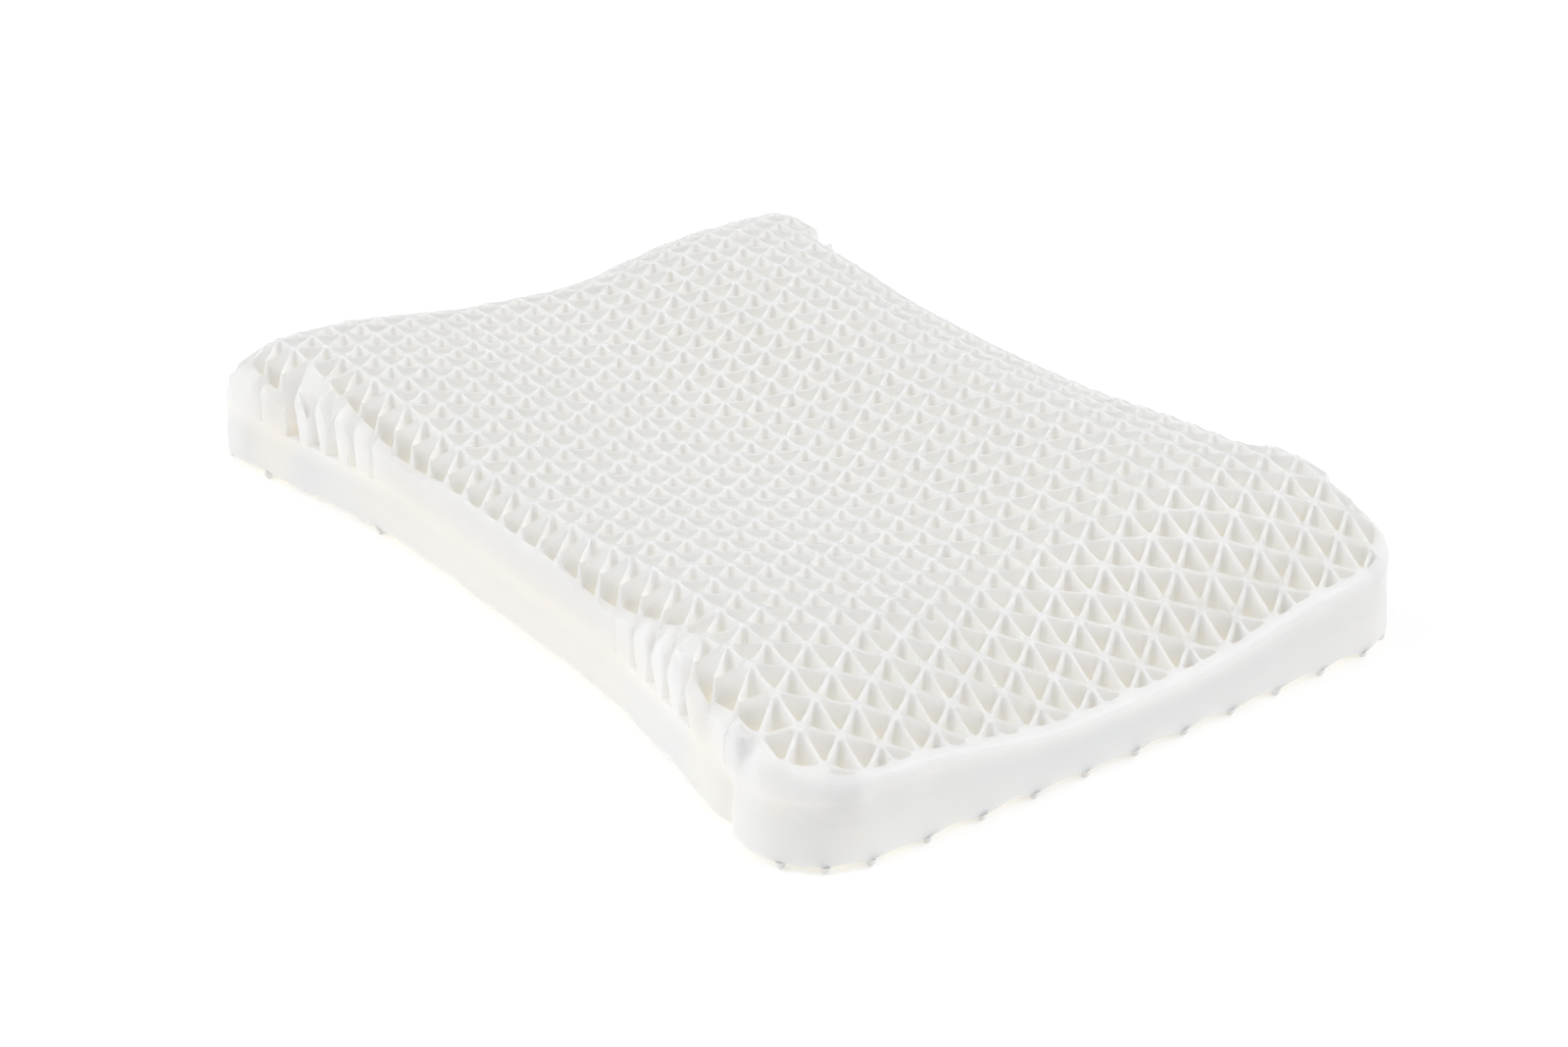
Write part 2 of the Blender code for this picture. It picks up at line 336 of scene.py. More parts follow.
class Form:
    """The pillow's shape as functions of the sizes in the shape settings."""

    def __init__(self, shape):
        self.s = shape
        self.half = shape.length / 2
        self.rise = shape.pitch * ROOT3 / 2

    def waist(self, x):
        """1 in the waist, 0 at the corner pads."""
        s = self.s
        return 1.0 - clamp((abs(x) - s.waist_flat) / (s.waist_end - s.waist_flat)) ** WAIST_POWER

    def half_width(self, x):
        """Distance from the long axis to the foot of the long side."""
        return self.s.width / 2 - self.s.waist_depth * self.waist(x)

    def side_top(self, x):
        """Distance from the long axis to the upper part of the long side."""
        return self.half_width(x) - self.s.draft_side * (1.0 - self.waist(x))

    def draft(self, point, normal):
        """How far the top of the band lies inside its foot."""
        s = self.s
        side = s.draft_side * (1.0 - self.waist(point.x))
        return mix(side, s.draft_end, abs(normal.x) ** 2)

    def corner_centre(self):
        """Centre of the rounded corner in the first quarter of the plan."""
        s = self.s
        return Vector((self.half - s.end_bow - s.corner_radius, s.width / 2 - s.corner_radius))

    def outline(self):
        """Points and outward normals of the band's foot, counter-clockwise."""
        s = self.s
        quarter = []
        centre = self.corner_centre()
        for k in range(END_POINTS):
            y = centre.y * k / END_POINTS
            bow = s.end_bow * (1.0 - (y / centre.y) ** 2)
            quarter.append(Vector((self.half - s.end_bow + bow, y)))
        for k in range(CORNER_POINTS + 1):
            turn = QUARTER_TURN * k / CORNER_POINTS
            quarter.append(centre + s.corner_radius * Vector((math.cos(turn), math.sin(turn))))
        for k in range(1, SIDE_POINTS + 1):
            x = centre.x * (1.0 - k / SIDE_POINTS)
            quarter.append(Vector((x, self.half_width(x))))
        back = [Vector((-p.x, p.y)) for p in reversed(quarter[:-1])]
        upper = quarter + back
        points = upper + [Vector((p.x, -p.y)) for p in reversed(upper[1:-1])]
        normals = []
        for k, point in enumerate(points):
            along = (points[(k + 1) % len(points)] - points[k - 1]).normalized()
            normals.append(Vector((along.y, -along.x)))
        return points, normals

    def gaps(self, x, y):
        """Distances inwards from the end and from the long side."""
        return self.half - self.s.draft_end - abs(x), self.side_top(x) - abs(y)

    def inside(self, x, y):
        """Distance inwards from the upper outline, less than 0 outside it."""
        radius = self.s.corner_radius - self.s.draft_end + 1.0 * MM
        away = Vector((abs(x), abs(y))) - self.corner_centre()
        gap = min(self.gaps(x, y))
        if away.x > 0.0 and away.y > 0.0:
            gap = min(gap, radius - away.length)
        return gap

    def inward(self, x, y):
        """Direction that leads away from the outline fastest."""
        step = 0.5 * MM
        slope = Vector((self.inside(x + step, y) - self.inside(x - step, y),
                        self.inside(x, y + step) - self.inside(x, y - step)))
        return slope.normalized()

    def end_share(self, x, y):
        """1 beside an end, 0 beside a long side."""
        end, side = self.gaps(x, y)
        return ramp(side - end, -CORNER_BLEND / 2, CORNER_BLEND)

    def side_edge(self, x):
        """Height of the outer skin and the pillars along a long side."""
        s = self.s
        flank = mix(s.waist_top, s.flank_top, ramp(abs(x), FLANK_X, FLANK_RUN))
        return mix(flank, s.corner_top, ramp(abs(x), PAD_X, PAD_RUN))

    def end_edge(self, y):
        """Height of the band's edge along an end."""
        return mix(self.s.end_top, self.s.corner_top, ramp(abs(y), END_FLAT, END_RUN))

    def slump(self, x, y):
        """How far the corners at the -X end sag below those at the other end."""
        deep = SLUMP_FRONT if y < 0.0 else SLUMP_REAR
        return deep * ramp(-x, SLUMP_X, SLUMP_X_RUN) * ramp(abs(y), SLUMP_Y, SLUMP_Y_RUN)

    def edge_height(self, x, y):
        """Height of the outer edge all the way round."""
        return mix(self.side_edge(x), self.end_edge(y), self.end_share(x, y)) - self.slump(x, y)

    def shelf_height(self, x, y):
        """Height of the shelf in the slits and of the plain band below it."""
        s = self.s
        side = mix(s.shelf, s.corner_top, ramp(abs(x), SHELF_END_X, PAD_RUN))
        level = mix(side, self.end_edge(y), self.end_share(x, y)) - self.slump(x, y)
        return min(s.shelf, level - self.lip(x, y) - SHELF_BELOW_LIP)

    def lip(self, x, y):
        """Rounding radius of the outer edge."""
        plain = mix(SIDE_LIP, self.s.lip_radius, self.end_share(x, y))
        pad = ramp(abs(x), PAD_LIP_X, PAD_LIP_X_RUN) * ramp(abs(y), PAD_LIP_Y, PAD_LIP_Y_RUN)
        return mix(plain, self.s.pad_radius, pad)

    def dome(self, x, y):
        """Height of the crossings away from the outline."""
        s = self.s
        swell = math.sin(QUARTER_TURN * clamp(abs(x) / SWELL_X)) ** 2
        valley = s.valley_top + VALLEY_SWELL * swell - self.slump(x, y)
        if y < VALLEY_Y:
            roll = s.front_top + FRONT_SWELL * swell
            share = (y - VALLEY_Y) / (FRONT_ROLL_Y - VALLEY_Y)
        else:
            roll = s.rear_top + REAR_SWELL * swell
            share = (y - VALLEY_Y) / (REAR_ROLL_Y - VALLEY_Y)
        height = mix(valley, roll, 0.5 - 0.5 * math.cos(math.pi * clamp(share)))
        return height - REAR_DROP * self.waist(x) * ramp(y, REAR_DROP_Y, REAR_DROP_RUN)

    def node_height(self, x, y):
        """Height of a crossing, falling to the outline."""
        s = self.s
        end = self.half - abs(x)
        fall = s.end_fall
        if x <= 0.0:
            fall *= mix(LEFT_FALL_FRONT, LEFT_FALL_REAR, ramp(y, LEFT_FALL_Y, LEFT_FALL_RUN))
        edge = self.end_edge(y) + END_RISE * ramp(end, END_RISE_START, END_RISE_RUN)
        share = clamp((fall - end) / (fall - END_SHELF)) ** END_POWER
        height = mix(self.dome(x, y), edge, share)
        flank = s.side_fall if y < 0.0 else REAR_FLANK * s.side_fall
        rise = math.sin(QUARTER_TURN * clamp(self.gaps(x, y)[1] / flank))
        return mix(self.side_edge(x), height, rise) - self.slump(x, y)

    def node(self, i, j):
        """Place of a crossing of the net."""
        return Vector(((i + 0.5 * j) * self.s.pitch + self.s.net_shift, j * self.rise))

    def triangle_at(self, x, y):
        """The three crossings round a point."""
        row = math.floor(y / self.rise)
        across = (x - self.s.net_shift - row * self.s.pitch / 2) / self.s.pitch
        part = y / self.rise - row
        column = math.floor(across - part / 2)
        share = across - part / 2 - column
        a = self.node(column, row)
        b = self.node(column + 1, row)
        c = self.node(column, row + 1)
        if share + part > 1.0:
            return b, self.node(column + 1, row + 1), c
        return a, b, c

    def wall_height(self, a, b, share):
        """Height of a wall's top between two crossings."""
        inside_a, inside_b = self.inside(a.x, a.y) > 0.0, self.inside(b.x, b.y) > 0.0
        if not inside_a and not inside_b:
            return self.edge_height(a.x, a.y)
        if not inside_a:
            a, b, share, inside_b = b, a, 1.0 - share, False
        low, high = self.node_height(a.x, a.y), self.node_height(b.x, b.y)
        reach = 1.0
        if not inside_b:
            near, far = 0.0, 1.0
            for _ in range(12):
                middle = (near + far) / 2
                point = a.lerp(b, middle)
                if self.inside(point.x, point.y) > 0.0:
                    near = middle
                else:
                    far = middle
            reach = max(near, LEAST_REACH)
            cross = a.lerp(b, reach)
            high = self.edge_height(cross.x, cross.y)
        t = clamp(share / reach)
        taut = mix(1.0, TAUT_SHARE, ramp(abs(a.x), TAUT_X, TAUT_RUN))
        sag = self.s.scallop * taut * min(1.0, reach * SHORT_WALL) + SLOPE_SAG * abs(high - low)
        return mix(low, high, t) - sag * 4.0 * t * (1.0 - t)

    def surface(self, x, y):
        """Height of the moulding's top at any point that isn't a cell."""
        corners = self.triangle_at(x, y)
        point = Vector((x, y))
        gap = self.inside(x, y)
        best = self.edge_height(x, y) if gap < self.s.end_skin + EDGE_ZONE else 0.0
        flat = self.s.wall / 2 + FILLET_START
        for k in range(3):
            a, b = corners[k], corners[(k + 1) % 3]
            along = b - a
            share = clamp((point - a).dot(along) / along.length_squared)
            away = (point - a.lerp(b, share)).length
            best = max(best, self.wall_height(a, b, share) - FILLET_SLOPE * max(0.0, away - flat))
        radius = self.lip(x, y)
        gap = clamp(gap, 0.0, radius)
        return best - (radius - math.sqrt(radius * radius - (radius - gap) ** 2))

    def foot(self, x, y):
        """Height of the moulding's under side."""
        corners = self.triangle_at(x, y)
        point = Vector((x, y))
        nearest = min((point - c).length for c in corners)
        rise = self.s.foot_scallop * math.sin(QUARTER_TURN * clamp((nearest - FOOT_FLAT) / FOOT_RUN)) ** 2
        edge = 1.0 - ramp(self.inside(x, y), BAND_RISE_START, BAND_RISE_RUN)
        return mix(rise, self.s.band_foot + BAND_RISE, edge)


def keep_side(polygon, normal, limit):
    """Part of a convex polygon on the inner side of a line."""
    kept = []
    for k, point in enumerate(polygon):
        before = polygon[k - 1]
        d_point = limit - normal.dot(point)
        d_before = limit - normal.dot(before)
        if (d_point < 0.0) != (d_before < 0.0):
            kept.append(before.lerp(point, d_before / (d_before - d_point)))
        if d_point >= 0.0:
            kept.append(point)
    return kept


def area(polygon):
    """Area of a polygon that runs counter-clockwise."""
    return 0.5 * sum(polygon[k - 1].cross(p) for k, p in enumerate(polygon))


def clipped(polygon, radius, spacing):
    """Convex polygon with its corners clipped to a radius and points along its sides."""
    count = len(polygon)
    corners = []
    for k, point in enumerate(polygon):
        before, after = polygon[k - 1] - point, polygon[(k + 1) % count] - point
        shortest = min(before.length, after.length)
        before.normalize()
        after.normalize()
        half = 0.5 * math.acos(clamp(before.dot(after), -1.0, 1.0))
        cut = min(radius / math.tan(half), LONGEST_CUT * shortest)
        centre = point + (before + after).normalized() * (cut * math.tan(half) / math.sin(half))
        spoke = point + before * cut - centre
        c, s = math.cos(math.pi - 2.0 * half), math.sin(math.pi - 2.0 * half)
        turned = Vector((c * spoke.x - s * spoke.y, s * spoke.x + c * spoke.y))
        corners.append((centre + spoke, centre + turned))
    points = []
    for k, (start, end) in enumerate(corners):
        following = corners[(k + 1) % count][0]
        steps = max(1, round((following - end).length / spacing))
        points.append(start)
        points.extend(end.lerp(following, n / steps) for n in range(steps))
    return points


def grown(points, amount):
    """Closed loop moved outwards by the same amount everywhere."""
    count = len(points)
    moved = []
    for k, point in enumerate(points):
        along = (points[(k + 1) % count] - points[k - 1]).normalized()
        moved.append(point + amount * Vector((along.y, -along.x)))
    return moved


def trim_to_skin(form, polygon):
    """Cell cut back so that the skin outside it keeps its thickness."""
    s = form.s
    for way in (1.0, -1.0):
        polygon = keep_side(polygon, Vector((way, 0.0)), form.half - s.end_bow - s.draft_end - s.end_skin)
    if len(polygon) < 3:
        return []
    middle = sum(polygon, Vector((0.0, 0.0))) / len(polygon)
    up = 1.0 if middle.y > 0.0 else -1.0
    out = 1.0 if middle.x > 0.0 else -1.0
    low, high = min(p.x for p in polygon), max(p.x for p in polygon)
    chord = Vector((high - low, up * (form.side_top(high) - form.side_top(low)))).normalized()
    normal = Vector((-chord.y, chord.x)) * up
    edges = [Vector((x, up * form.side_top(x))) for x in (low, (low + high) / 2, high)]
    far = max(abs(low), abs(high))
    skin = max(s.side_skin, form.lip(out * far, up * form.side_top(far)) + SKIN_MARGIN)
    polygon = keep_side(polygon, normal, min(normal.dot(p) for p in edges) - skin)
    corner = form.corner_centre()
    centre = Vector((out * corner.x, up * corner.y))
    radius = s.corner_radius - s.draft_end - s.end_skin
    for k in range(1, CORNER_CUTS):
        turn = QUARTER_TURN * k / CORNER_CUTS
        ray = Vector((out * math.cos(turn), up * math.sin(turn)))
        polygon = keep_side(polygon, ray, ray.dot(centre) + radius)
    return polygon


def pillar_width(x):
    """Width of a pillar at the foot of the slits."""
    return mix(PILLAR_WIDE, PILLAR_NARROW, ramp(abs(x), PILLAR_X, PILLAR_RUN))


def slit_loop(form, deep):
    """Wedge-shaped slit that opens outwards from a crossing."""
    depth = form.side_top(deep.x) - abs(deep.y)
    half_step = form.s.pitch / 2
    ways = []
    for side in (-half_step, half_step):
        reach = half_step - pillar_width(deep.x + side) / 2
        if abs(deep.x + side) > OUTER_SLIT_X or abs(deep.y) > OUTER_SLIT_Y:
            reach = min(reach, (depth - SLIT_MARGIN) / ROOT3)
        ways.append(math.copysign(reach, side))
    up = 1.0 if deep.y > 0.0 else -1.0
    run = depth - SLIT_START
    grow = (run + SLIT_PAST_EDGE) / run
    apex = Vector((deep.x, up * (abs(deep.y) + SLIT_START)))
    left, right = [apex + Vector((way * grow, up * run * grow)) for way in ways]
    wedge = [apex, right, left] if up > 0.0 else [apex, left, right]
    return clipped(wedge, SLIT_FILLET, SLIT_SPACING)


def net_triangles(form):
    """All triangles of the net over the pillow's plan."""
    rows = int(form.s.width / 2 / form.rise) + 2
    columns = int(form.half / form.s.pitch) + rows + 2
    for j in range(-rows, rows):
        for i in range(-columns, columns):
            yield form.node(i, j), form.node(i + 1, j), form.node(i, j + 1)
            yield form.node(i + 1, j), form.node(i + 1, j + 1), form.node(i, j + 1)


def cells_of(form):
    """Loops of the cells that go right through, and crossings with a slit."""
    s = form.s
    shrink = 1.0 - s.wall * ROOT3 / s.pitch
    whole = (s.pitch * shrink) ** 2 * ROOT3 / 4
    cells, slits = [], []
    for corners in net_triangles(form):
        middle = (corners[0] + corners[1] + corners[2]) / 3
        if form.inside(middle.x, middle.y) < FARTHEST_OUT:
            continue
        deep = min(corners, key=lambda c: abs(c.y))
        base_outside = sum(abs(c.y) > abs(middle.y) for c in corners) == 2
        beyond = form.side_top(deep.x) - abs(deep.y)
        on_side = abs(middle.x) < SIDE_END_X
        if on_side and base_outside and abs(deep.y) > SLIT_Y and beyond < SLIT_MOST:
            if beyond > SLIT_LEAST:
                slits.append(deep)
            continue
        kept = trim_to_skin(form, [middle + (c - middle) * shrink for c in corners])
        least = LEAST_CELL
        if on_side and abs(middle.y) > OUTER_ROW_Y:
            least = LEAST_OPEN_CELL if base_outside else LEAST_CLOSED_CELL
        if len(kept) < 3 or area(kept) < least * whole:
            continue
        kept = [p for k, p in enumerate(kept) if (p - kept[k - 1]).length > LEAST_EDGE]
        radius = min(s.fillet, WIDEST_FILLET * math.sqrt(area(kept)))
        cells.append(clipped(kept, radius, CELL_SPACING))
    return cells, slits


class Solid:
    """Collects points and faces and turns them into an object."""

    def __init__(self):
        self.points = []
        self.faces = []
        self.depths = {}
        self.first_nub = 0

    def add(self, x, y, z):
        """Adds a point and returns its number."""
        self.points.append((x, y, z))
        return len(self.points) - 1

    def strip(self, lower, upper):
        """Adds a closed strip of faces between two rings of points."""
        count = len(lower)
        for k in range(count):
            n = (k + 1) % count
            self.faces.append((lower[k], lower[n], upper[n], upper[k]))

    def build(self, name, sharp):
        """Makes the object, smooth but for edges sharper than an angle."""
        data = bpy.data.meshes.new(name)
        data.from_pydata(self.points, [], self.faces)
        depth = data.attributes.new("depth", "FLOAT", "POINT")
        depth.data.foreach_set("value", [self.depths.get(k, 0.0) for k in range(len(self.points))])
        mesh = bmesh.new()
        mesh.from_mesh(data)
        bmesh.ops.recalc_face_normals(mesh, faces=mesh.faces)
        if mesh.calc_volume(signed=True) < 0.0:
            bmesh.ops.reverse_faces(mesh, faces=mesh.faces)
        mesh.to_mesh(data)
        mesh.free()
        data.shade_smooth()
        data.set_sharp_from_angle(angle=sharp)
        piece = bpy.data.objects.new(name, data)
        bpy.context.scene.collection.objects.link(piece)
        return piece


class Plan:
    """The plan of the moulding, cut into triangles, with its outline."""

    def __init__(self, form):
        self.feet, self.normals = form.outline()
        self.tops = [p - n * form.draft(p, n) for p, n in zip(self.feet, self.normals)]
        cells, self.slits = cells_of(form)
        rings = []
        for step in LIP_STEPS:
            rings.append([p - n * step * form.lip(p.x, p.y) for p, n in zip(self.tops, self.normals)])
        loops = rings + [grown(cell, BEVEL_WIDTH) for cell in cells]
        loops += [slit_loop(form, slit) for slit in self.slits]
        points, faces = [], []
        for loop in loops:
            faces.append(list(range(len(points), len(points) + len(loop))))
            points.extend(loop)
        first_cell = len(rings)
        first_slit = first_cell + len(cells)
        cut = delaunay_2d_cdt(points, [], faces, 1, SAME_POINT, True)
        self.flat, _, triangles, sources, _, owners = cut
        place = {origin: k for k, source in enumerate(sources) for origin in source}
        self.cells = [(cell, [place[k] for k in face]) for cell, face in zip(cells, faces[first_cell:])]
        self.cell_points = {k for _, ids in self.cells for k in ids}
        self.high, self.low = [], []
        for triangle, owner in zip(triangles, owners):
            if 0 not in owner or any(first_cell <= o < first_slit for o in owner):
                continue
            group = self.low if any(o >= first_slit for o in owner) else self.high
            group.append(tuple(triangle))
        lips = {k for tri in self.high for k in tri} & {k for tri in self.low for k in tri}
        self.slit_of = {k: min(self.slits, key=lambda c: (c - self.flat[k]).length) for k in lips}

    def rim_place(self, point):
        """Foot and normal of the outline beside a point of the upper outline."""
        best = None
        count = len(self.tops)
        for k in range(count):
            a, b = self.tops[k], self.tops[(k + 1) % count]
            along = b - a
            share = clamp((point - a).dot(along) / along.length_squared)
            away = (point - a.lerp(b, share)).length
            if best is None or away < best[0]:
                n = (k + 1) % count
                best = (away, self.feet[k].lerp(self.feet[n], share),
                        self.normals[k].lerp(self.normals[n], share).normalized())
        return best[1], best[2]


def uneven(point, lengths, phases):
    """Sum of a wave along each axis, for a surface that isn't quite even."""
    return sum(math.sin(v / length + phase) for v, length, phase in zip(point, lengths, phases))


def band_profile(form, top, foot, normal, shelf):
    """Points of the plain band from the shelf down to its lower edge."""
    s = form.s
    ripple = RIPPLE * uneven(foot, RIPPLE_LENGTHS, RIPPLE_PHASES)
    wave = WAVE * uneven(foot, WAVE_LENGTHS, WAVE_PHASES)
    wide, deep = (GROOVE_WIDTH, s.groove) if foot.x > 0.0 else (HOLLOW_WIDTH, HOLLOW_SHARE * s.groove)
    groove = deep * math.exp(-((abs(foot.x) - GROOVE_X) / wide) ** 2) * abs(normal.y) ** SIDE_ONLY
    nubs = 0.5 - 0.5 * math.cos(math.pi * foot.y / form.rise + (math.pi if foot.x < 0.0 else 0.0))
    low = s.band_foot + ripple + SCALLOP_BETWEEN_NUBS * (nubs - NUB_SHARE) * normal.x ** END_ONLY
    points = []
    for share in BAND_SHARES:
        hollow = groove * clamp(GROOVE_FADE * (GROOVE_TOP - share)) + wave * math.sin(math.pi * share)
        place = foot.lerp(top, smooth(share)) - normal * hollow
        points.append((place.x, place.y, mix(low, shelf, share)))
    for inwards, up in BAND_EDGE:
        place = foot - normal * (inwards + groove)
        points.append((place.x, place.y, low + up))
    return points


def nub_places(form, plan):
    """Places of the small feet that show below the band's lower edge."""
    places = []
    for j in NUB_ROWS:
        for i in NUB_COLUMNS:
            node = form.node(i, j)
            end, side = form.half - abs(node.x), form.half_width(node.x) - abs(node.y)
            # Every second row of the net has a crossing near an end.
            at_end = NUB_END_OUT < end < NUB_END_IN and abs(node.y) < NUB_END_Y
            at_end = at_end and j % 2 == (node.x < 0.0)
            at_corner = abs(node.x) > NUB_CORNER_X and abs(node.y) > NUB_END_Y
            at_corner = at_corner and 0.0 < form.inside(node.x, node.y) < NUB_CORNER_IN
            at_side = NUB_SIDE_OUT < side < NUB_SIDE_IN and NUB_SIDE_X[0] < node.x < NUB_SIDE_X[1]
            if not (at_end or at_corner or at_side):
                continue
            foot, normal = plan.rim_place(node)
            places.append(foot - normal * form.s.nub)
    return places


def add_nub(solid, place, radius):
    """Half ball that hangs from the band and touches the ground."""
    rings = []
    for out, up in NUB_RINGS:
        ring = []
        for k in range(NUB_POINTS):
            turn = 2.0 * math.pi * k / NUB_POINTS
            ring.append(solid.add(place.x + out * radius * math.cos(turn),
                                  place.y + out * radius * math.sin(turn), up * radius))
        rings.append(ring)
    for upper, lower in zip(rings, rings[1:]):
        solid.strip(lower, upper)
    solid.faces.append(tuple(rings[0]))
    solid.faces.append(tuple(reversed(rings[-1])))


def moulding(form):
    """The whole pillow as one closed solid, with its small feet."""
    plan = Plan(form)
    solid = Solid()
    tops, feet, shelves, columns = {}, {}, {}, {}

    def top(k):
        """Point of the upper side. The slits close towards their tops."""
        if k not in tops:
            x, y = plan.flat[k]
            if k in plan.slit_of:
                x = mix(x, plan.slit_of[k].x, SLIT_CLOSING)
            tops[k] = solid.add(x, y, max(form.surface(x, y), form.shelf_height(x, y) + SHELF_STEP))
        return tops[k]

    def foot(k):
        """Point of the under side, moved inwards near the band's lower edge."""
        if k not in feet:
            x, y = plan.flat[k]
            gap = form.inside(x, y)
            z = form.foot(x, y)
            if gap < SOLE_ZONE:
                inward = form.inward(x, y)
                need = max(0.0, SOLE_INSET - form.draft(Vector((x, y)), inward)) + SOLE_MARGIN
                x, y = Vector((x, y)) + inward * need * (1.0 - max(gap, 0.0) / SOLE_ZONE)
            feet[k] = solid.add(x, y, z)
        return feet[k]

    def shelf(k):
        """Point of the shelf in a slit, or of the band's upper edge."""
        if k not in shelves:
            x, y = plan.flat[k]
            shelves[k] = solid.add(x, y, form.shelf_height(x, y))
        return shelves[k]

    def column(k):
        """Points of the plain band from the shelf to the under side."""
        if k not in columns:
            point = plan.flat[k]
            rim, normal = plan.rim_place(point)
            height = form.shelf_height(point.x, point.y)
            ids = [solid.add(*p) for p in band_profile(form, point, rim, normal, height)]
            # The band carries the depth mark of its painted shade, fading in over its first points.
            for step, n in enumerate(ids):
                solid.depths[n] = BAND_SHADE_MARK * min(1.0, (step + 1) / BAND_SHADE_MARK_STEPS)
            columns[k] = [shelf(k)] + ids + [foot(k)]
        return columns[k]

    sides = {}
    for group, upper in ((plan.high, top), (plan.low, shelf)):
        for a, b, c in group:
            solid.faces.append((upper(a), upper(b), upper(c)))
            solid.faces.append((foot(c), foot(b), foot(a)))
            for pair in ((a, b), (b, c), (c, a)):
                sides.setdefault(frozenset(pair), []).append((pair, upper))
    for cell, ids in plan.cells:
        rims = [top(k) for k in ids]
        soles = [foot(k) for k in ids]
        bevel = [solid.add(p.x, p.y, solid.points[rim][2] - BEVEL_DROP) for p, rim in zip(cell, rims)]
        solid.strip(bevel, rims)
        solid.strip(soles, bevel)
    for uses in sides.values():
        (a, b), upper = uses[0]
        if len(uses) == 2 and uses[0][1] is not uses[1][1]:
            solid.faces.append((top(a), top(b), shelf(b), shelf(a)))
        elif len(uses) == 1 and not (a in plan.cell_points and b in plan.cell_points):
            if upper is top:
                solid.faces.append((top(a), top(b), shelf(b), shelf(a)))
            left, right = column(a), column(b)
            for n in range(len(left) - 1):
                solid.faces.append((left[n], right[n], right[n + 1], left[n + 1]))
    # Depth below the top, stored on the under side, drives the painted warmth and glow deep in the cells.
    for k, sole in feet.items():
        if k in tops:
            solid.depths[sole] = solid.points[tops[k]][2] - solid.points[sole][2]
    solid.first_nub = len(solid.faces)
    for place in nub_places(form, plan):
        add_nub(solid, place, form.s.nub)
    return solid, plan


def add_node(tree, kind, links=(), **settings):
    """Adds a shader node, sets its inputs and attributes and links it."""
    node = tree.nodes.new(kind)
    for name, value in settings.items():
        if name.startswith("in_"):
            node.inputs[name[3:].replace("_", " ")].default_value = value
        else:
            setattr(node, name, value)
    for source, socket in links:
        tree.links.new(source, node.inputs[socket])
    return node


